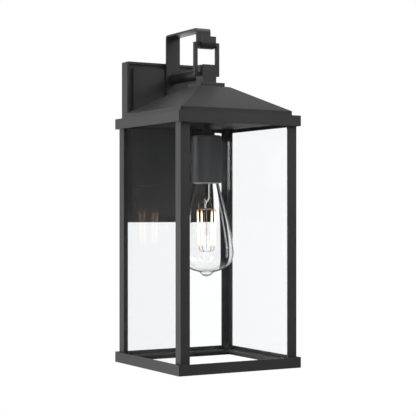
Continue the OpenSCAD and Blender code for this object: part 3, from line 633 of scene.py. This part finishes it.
# %% [markdown]
# ## The socket's lip
#
# The porcelain socket ends in a thin pale lip that shows as a bright line just under the cup's rim.
# Its section is a small rounded band, turned about the lamp's axis. A plain tube would do from far
# off, but the rounded foot is what catches the light.

# %% Lip
LIP_SHY, LIP_IN, LIP_DROP, LIP_UP = 0.0002, 0.01455, 0.0008, 0.0045
LIP_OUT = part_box("socket_body")[1][0] - AXIS[0] - LIP_SHY

cup_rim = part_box("socket_cup")[0][2]
lip_top = cup_rim + LIP_UP
turn = np.linspace(0, math.pi, 9)
middle, half = (LIP_OUT + LIP_IN) / 2, (LIP_OUT - LIP_IN) / 2
bottom = np.stack([middle + half * np.cos(turn), cup_rim - LIP_DROP + half * (1 - np.sin(turn))], 1)
section = np.concatenate([[[LIP_OUT, lip_top]], bottom, [[LIP_IN, lip_top], [LIP_OUT, lip_top]]])
lip = grid_piece("socket_lip", turned(section))
scene.collection.objects.link(lip)
lip.data.materials.append(finishes["porcelain"])
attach(lip, body_of["socket_body"])
print("lip radius", round(LIP_OUT, 4), "drop", LIP_DROP)

# %% [markdown]
# ## The lamp's glass stem
#
# A flared tube rises from the bulb's neck, and its far end is pressed flat round the wires while the
# glass is soft. It could be two pieces, a tube and a wedge, but the real one has no seam. So it is
# one loft of ellipses: round along the tube, and flatter and narrower at the press.

# %% Glass stem
STICK_TOP, STICK_FOOT = 0.33 * GLASS_LENGTH, 0.71 * GLASS_LENGTH
PRESS_TOP, PRESS_FOOT = STICK_TOP - 0.009, STICK_TOP - 0.001
STEM_R, STEM_T = 0.0045, 0.0007
PRESS_WIDTH, PRESS_DEPTH = 0.85 * STEM_R, 0.0013
FLARE_R, FLARE_END, SQUEEZE_TOP, SQUEEZE_LONG = 0.0112, 0.0125, PRESS_TOP - 0.005, 0.008
WIDTH_ROUND = 0.35  # how far the press's width follows the round of its end, where its depth follows all

flare_line = curve([[FLARE_R, -0.0006], [0.0074, 0.0005], [STEM_R, 0.005], [STEM_R, FLARE_END]], 20)[0]
tube_line = np.stack([np.full(8, STEM_R), np.linspace(FLARE_END, SQUEEZE_TOP, 8)], 1)
tube = np.concatenate([flare_line, tube_line])[:, [0, 0, 1]]
share = np.linspace(0.04, 1, 16)
ease = fade(share, 0, 1)
squeeze = np.stack([STEM_R + ease * (PRESS_WIDTH - STEM_R), STEM_R + ease * (PRESS_DEPTH - STEM_R),
                    SQUEEZE_TOP + share * SQUEEZE_LONG], 1)
rise = np.sin(np.linspace(0, 1, 8) * math.pi / 2)[:, None]
end = np.concatenate([np.array([[PRESS_WIDTH, PRESS_DEPTH]]) * np.sqrt(1 - rise ** 2 * [[WIDTH_ROUND, 1]]),
                      PRESS_FOOT - PRESS_DEPTH + PRESS_DEPTH * rise], 1)
outside = np.concatenate([tube, squeeze, end, [[0, 0, PRESS_FOOT]]])
# The hollow ends in a small dome where the press begins.
dome = np.array([[STEM_R - STEM_T - 0.001, STEM_R - STEM_T - 0.0016, PRESS_TOP - 0.0025],
                 [0.0018, 0.0007, PRESS_TOP - 0.0003], [0, 0, PRESS_TOP]])
hollow = np.concatenate([tube - [[STEM_T, STEM_T, 0]], dome])[::-1]
# Rows of (half width, half depth, distance below the cap's foot).
wide, deep, down = np.hsplit(np.concatenate([outside, hollow, outside[:1]]), 3)
bulb_stem = stand_for(grid_piece("bulb_stem", rings(wide, deep, CAP_FOOT - down, 72)), "bulb_mount")
print("stem reaches", round(PRESS_FOOT, 4), "below the cap's foot,", len(bulb_stem.data.polygons), "faces")

# %% [markdown]
# ## Wires and glowing sticks
#
# Two leads come out of the press and fork to the tops of the four sticks. The centre wire ends in a
# cross whose turned-up ends hold their feet. A curve with a round bevel could carry them, but its
# ends would be open. Here each wire lies in an upright plane, so its circle is carried along the
# path with one fixed side, the plane's normal, and shrinks to a point at both ends.

# %% Round bars along a path
WIRE_R, STICK_R = 0.00035, 0.0009
STICK_TOP_OUT, STICK_FOOT_OUT, CROSS_DROP = 0.0124, 0.0103, 0.0045


def round_bar(path, radius, sides=12):
    """A round bar along a path in an upright plane with normal n: at each point the circle is
    point + radius (cos a n + sin a (way x n)). A radius of 0 at an end closes it."""
    way = np.gradient(path, axis=0)
    way /= np.linalg.norm(way, axis=1, keepdims=True)
    run = path[-1] - path[0]
    normal = np.array([-run[1], run[0], 0]) if np.hypot(run[0], run[1]) > 1e-6 else np.array([1.0, 0, 0])
    normal /= np.linalg.norm(normal)
    angle = np.arange(sides)[None, :, None] * TAU / sides
    circle = np.cos(angle) * normal + np.sin(angle) * np.cross(way, normal)[:, None, :]
    return path[:, None, :] + radius[:, None, None] * circle + [AXIS[0], AXIS[1], CAP_FOOT]


def wire(path):
    """A wire along a path. At both ends the radius drops to 0 over a thousandth of a step, which
    closes it flat."""
    path = np.concatenate([path[:1], path, path[-1:]])
    path[0] += (path[1] - path[2]) * 1e-3
    path[-1] += (path[-2] - path[-3]) * 1e-3
    return round_bar(path, np.concatenate([[0], np.full(len(path) - 2, WIRE_R), [0]]))


def bend(points, count=14):
    """A cubic Bezier in space, with its first and last point."""
    return bezier(points, np.linspace(0, 1, count))


def stick_at(number, down):
    """The point of a stick's line at a distance below the cap's foot, about the lamp's axis: it
    stands out by STICK_TOP_OUT at the top and by STICK_FOOT_OUT at the foot."""
    far = STICK_TOP_OUT + (down - STICK_TOP) / (STICK_FOOT - STICK_TOP) * (STICK_FOOT_OUT - STICK_TOP_OUT)
    return np.array([far * math.cos(number * TAU / 4), far * math.sin(number * TAU / 4), -down])


# %% Leads
# A lead starts LEAD_IN inside the press and LEAD_OUT from the axis, drops, comes down over its stick
# and ends LEAD_HOLD inside it. LEAD_DROP and LEAD_RISE are the lengths of the curve's two handles.
LEAD_OUT, LEAD_IN, LEAD_DROP, LEAD_RISE, LEAD_HOLD = 0.0018, 0.0012, 0.004, 0.0035, 0.0008

leads = []
for number in range(4):
    side = (number // 2 + 0.25) * math.pi
    start = np.array([LEAD_OUT * math.cos(side), LEAD_OUT * math.sin(side), -PRESS_FOOT + LEAD_IN])
    top = stick_at(number, STICK_TOP)
    handles = start - [0, 0, LEAD_DROP], top + [0, 0, LEAD_RISE]
    leads.append(wire(bend([start, *handles, top - [0, 0, LEAD_HOLD]])))
bulb_wires = stand_for(grid_piece("bulb_wires", *leads), "bulb_leads")
print("lead faces:", len(bulb_wires.data.polygons))

# %% Sticks, rounded at both ends
STICK_LOWER = 0.0005  # how far a stick's top lies below STICK_TOP

share = np.concatenate([[0], 1 - np.cos(np.linspace(0.15, 1, 6) * math.pi / 2), [1]])
rounding = np.sqrt(1 - (1 - share) ** 2)
stick_radius = STICK_R * np.concatenate([rounding, rounding[::-1]])
sticks = []
for number in range(4):
    top, low = stick_at(number, STICK_TOP + STICK_LOWER), stick_at(number, STICK_FOOT)
    long = np.linalg.norm(low - top)
    reach = np.concatenate([share * STICK_R, long - share[::-1] * STICK_R])
    sticks.append(round_bar(top + reach[:, None] * ((low - top) / long), stick_radius, 24))
glow_sticks = stand_for(grid_piece("glow_sticks", *sticks), "bulb_filaments")
print("stick faces:", len(glow_sticks.data.polygons))

# %% Centre wire and cross
CENTRE_IN, HOLDER_UP = 0.001, 0.0006  # how far the wire starts inside the press, and a holder inside its stick

hub = np.array([0, 0, -STICK_FOOT - CROSS_DROP])
cross = [wire(np.array([[0, 0, -PRESS_FOOT + CENTRE_IN], [0, 0, -STICK_TOP - 0.01], hub]))]
for number in range(4):
    low, end = stick_at(number, STICK_FOOT + CROSS_DROP), stick_at(number, STICK_FOOT - HOLDER_UP)
    cross.append(wire(bend([hub, 0.25 * hub + 0.75 * low, low, end], 20)))
bulb_cross = stand_for(grid_piece("bulb_cross", *cross), "bulb_support")
print("cross faces:", len(bulb_cross.data.polygons))

# %% [markdown]
# ## The lamp's screw cap
#
# The cap is thin sheet rolled into a round thread with seven turns to the inch. A Screw modifier
# could wind the thread, but its ends would need mending. Here the thread is one formula on the grid
# of angle and height, and it fades out below the shoulder and above the collar.

# %% Threaded cap
PITCH, THREAD_DEPTH, CAP_WALL, SHOULDER = 0.003629, 0.0009, 0.0014, 0.002
INSULATOR, CAP_SIDES = 0.004, 96  # the black glass ring round the contact, which the cap leaves open
THREAD_FOOT, THREAD_HEAD = (0.0015, 0.0035), (0.0055, 0.003)  # above the foot and below the top

CAP_H = cap_high[2] - CAP_FOOT
CROWN_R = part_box("bulb_contact")[1][0] - AXIS[0] + INSULATOR
angle = np.arange(CAP_SIDES) * TAU / CAP_SIDES
height = np.linspace(0, CAP_H - SHOULDER, 110)[:, None]
cut_in = fade(height, *THREAD_FOOT) * (1 - fade(height, CAP_H - THREAD_HEAD[0], CAP_H - THREAD_HEAD[1]))
thread = CAP_R - THREAD_DEPTH * cut_in * (0.5 - 0.5 * np.cos(TAU * height / PITCH - angle))
turn = np.linspace(0, math.pi / 2, 7)[1:]
over = np.stack([CAP_R - SHOULDER + SHOULDER * np.cos(turn), CAP_H - SHOULDER + SHOULDER * np.sin(turn)], 1)
bore = CAP_R - CAP_WALL
inside = [[CROWN_R, CAP_H], [CROWN_R, CAP_H - CAP_WALL], [bore - SHOULDER, CAP_H - CAP_WALL],
          [bore, CAP_H - CAP_WALL - SHOULDER], [bore, 0], [CAP_R, 0]]
round_rows = np.concatenate([over, inside])
radius = np.concatenate([thread, round_rows[:, :1] + 0 * angle])
height = np.concatenate([height, round_rows[:, 1:]])
cap_grid = rings(radius, radius, CAP_FOOT + height, CAP_SIDES)
screw_cap = stand_for(grid_piece("screw_cap", cap_grid), "bulb_cap")
print("cap thread:", round((CAP_H - SHOULDER) / PITCH, 1), "turns,", len(screw_cap.data.polygons), "faces")
